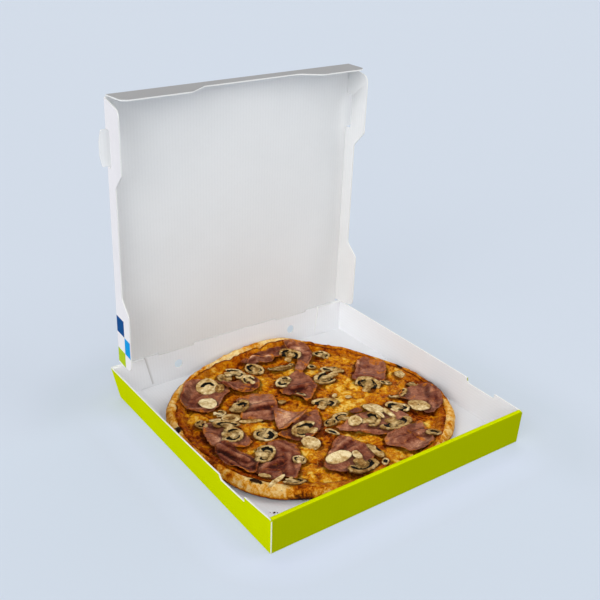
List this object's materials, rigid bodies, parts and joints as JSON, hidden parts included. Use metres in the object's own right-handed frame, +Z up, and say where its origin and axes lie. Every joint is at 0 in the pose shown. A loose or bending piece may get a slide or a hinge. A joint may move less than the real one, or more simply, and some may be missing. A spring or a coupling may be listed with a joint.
{
  "type": "pizza in its box",
  "caption": "Baked pizza with ham and mushroom slices in its open takeaway box of folded board, with a hinged lid and folding lid flaps.",
  "frame": {"origin": "middle of the tray's underside, on the surface the box stands on", "axes": "+X along the lid's hinge to the right seen from the front, +Y from the rolled front wall to the hinge at the back, +Z up"},
  "size_m": [0.3427, 0.3363, 0.3684],
  "materials": {
    "green_board": "satin print outside, uncoated white inside",
    "white_board": "matt",
    "baked_dough": "matt baked crust",
    "melted_cheese": "oily, slightly glossy",
    "ham": "slightly glossy",
    "mushroom": "matt"
  },
  "bodies": {
    "tray_with_pizza": {"tray": "green_board", "pizza_base": "baked_dough", "pizza_cheese": "melted_cheese", "ham_01": "ham", "ham_02": "ham", "ham_03": "ham", "ham_04": "ham", "ham_05": "ham", "ham_06": "ham", "ham_07": "ham", "ham_08": "ham", "ham_09": "ham", "ham_10": "ham", "ham_11": "ham", "ham_12": "ham", "ham_13": "ham", "ham_14": "ham", "ham_15": "ham", "ham_16": "ham", "mushroom_01": "mushroom", "mushroom_02": "mushroom", "mushroom_03": "mushroom", "mushroom_04": "mushroom", "mushroom_05": "mushroom", "mushroom_06": "mushroom", "mushroom_07": "mushroom", "mushroom_08": "mushroom", "mushroom_09": "mushroom", "mushroom_10": "mushroom", "mushroom_11": "mushroom", "mushroom_12": "mushroom", "mushroom_13": "mushroom", "mushroom_14": "mushroom", "mushroom_15": "mushroom", "mushroom_16": "mushroom", "mushroom_17": "mushroom", "mushroom_18": "mushroom", "mushroom_19": "mushroom", "mushroom_20": "mushroom", "mushroom_21": "mushroom", "mushroom_22": "mushroom", "mushroom_23": "mushroom", "mushroom_24": "mushroom", "mushroom_25": "mushroom", "mushroom_26": "mushroom", "mushroom_27": "mushroom", "mushroom_28": "mushroom", "mushroom_29": "mushroom", "mushroom_30": "mushroom", "mushroom_31": "mushroom", "mushroom_32": "mushroom", "mushroom_33": "mushroom", "mushroom_34": "mushroom", "mushroom_35": "mushroom"},
    "lid": {"lid_panel": "white_board"},
    "flap_left": {"lid_flap_left": "white_board"},
    "flap_right": {"lid_flap_right": "white_board"},
    "flap_front": {"lid_flap_front": "white_board"}
  },
  "joints": [
    {"name": "lid_hinge", "type": "hinge", "parent": "tray_with_pizza", "child": "lid", "pos_m": [0, 0.16825, 0.0431], "axis": [1, 0, 0], "range_deg": [-98, 88]},
    {"name": "flap_left_fold", "type": "hinge", "parent": "lid", "child": "flap_left", "pos_m": [-0.16075, 0.16825, 0.0431], "axis": [0, -0.0349, 0.9994], "range_deg": [-88, 10]},
    {"name": "flap_right_fold", "type": "hinge", "parent": "lid", "child": "flap_right", "pos_m": [0.16075, 0.16825, 0.0431], "axis": [0, 0.0349, -0.9994], "range_deg": [-88, 10]},
    {"name": "flap_front_fold", "type": "hinge", "parent": "lid", "child": "flap_front", "pos_m": [0, 0.15692, 0.36765], "axis": [1, 0, 0], "range_deg": [-88, 10]}
  ]
}
